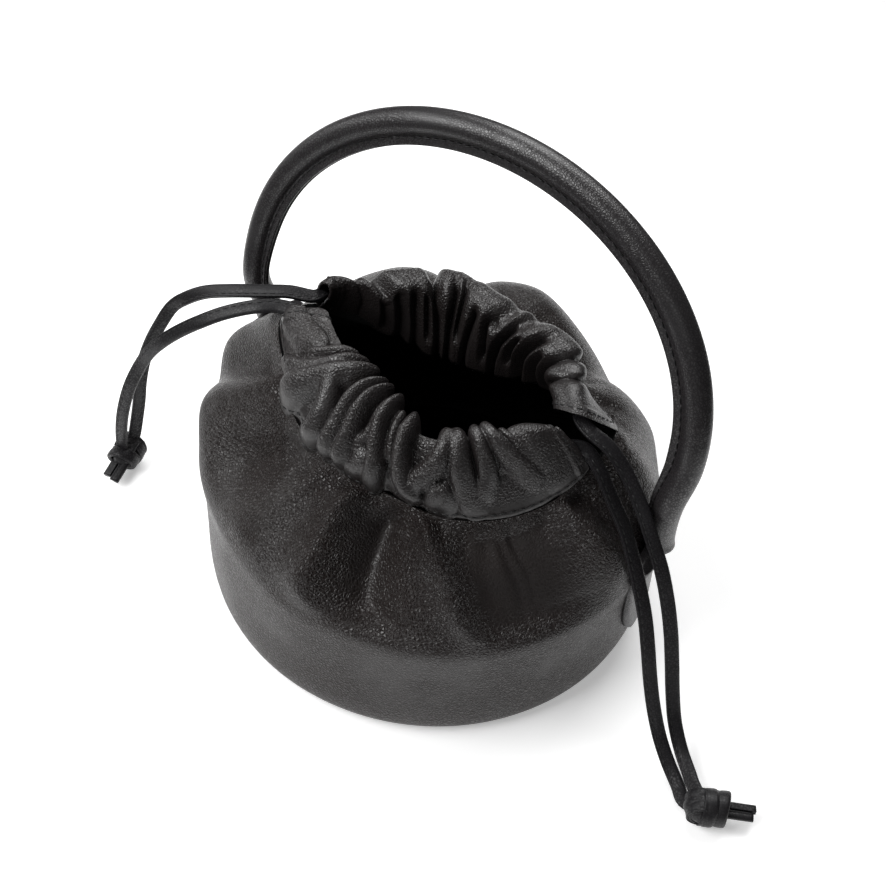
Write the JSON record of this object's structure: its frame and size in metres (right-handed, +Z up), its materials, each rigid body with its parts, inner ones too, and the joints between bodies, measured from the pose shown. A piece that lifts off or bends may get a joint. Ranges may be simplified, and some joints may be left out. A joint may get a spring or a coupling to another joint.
{
  "type": "leather handle pouch",
  "caption": "Small round leather drawstring pouch with a gathered open mouth, a round piped carrying handle and flat lace drawstrings knotted at their ends.",
  "frame": {"origin": "middle of the base panel's underside, on the surface that the pouch stands on", "axes": "+Z up, +X from the left end of the handle to the right end, -Y to the front"},
  "size_m": [0.2906, 0.1608, 0.179],
  "materials": {
    "pebbled_leather": "soft tumbled grain, near black, low sheen",
    "smooth_leather": "fine grain over piping, near black, low sheen",
    "lace_leather": "fine grain flat lace, stitched along one edge, near black"
  },
  "bodies": {
    "root": {"base": "pebbled_leather", "pouch_body": "pebbled_leather", "casing_front": "pebbled_leather", "casing_back": "pebbled_leather", "tab_left": "smooth_leather", "tab_right": "smooth_leather", "handle": "smooth_leather", "cord_left_a": "lace_leather", "cord_left_b": "lace_leather", "cord_right_a": "lace_leather", "cord_right_b": "lace_leather", "knot_left": "lace_leather", "knot_right": "lace_leather"}
  },
  "joints": []
}
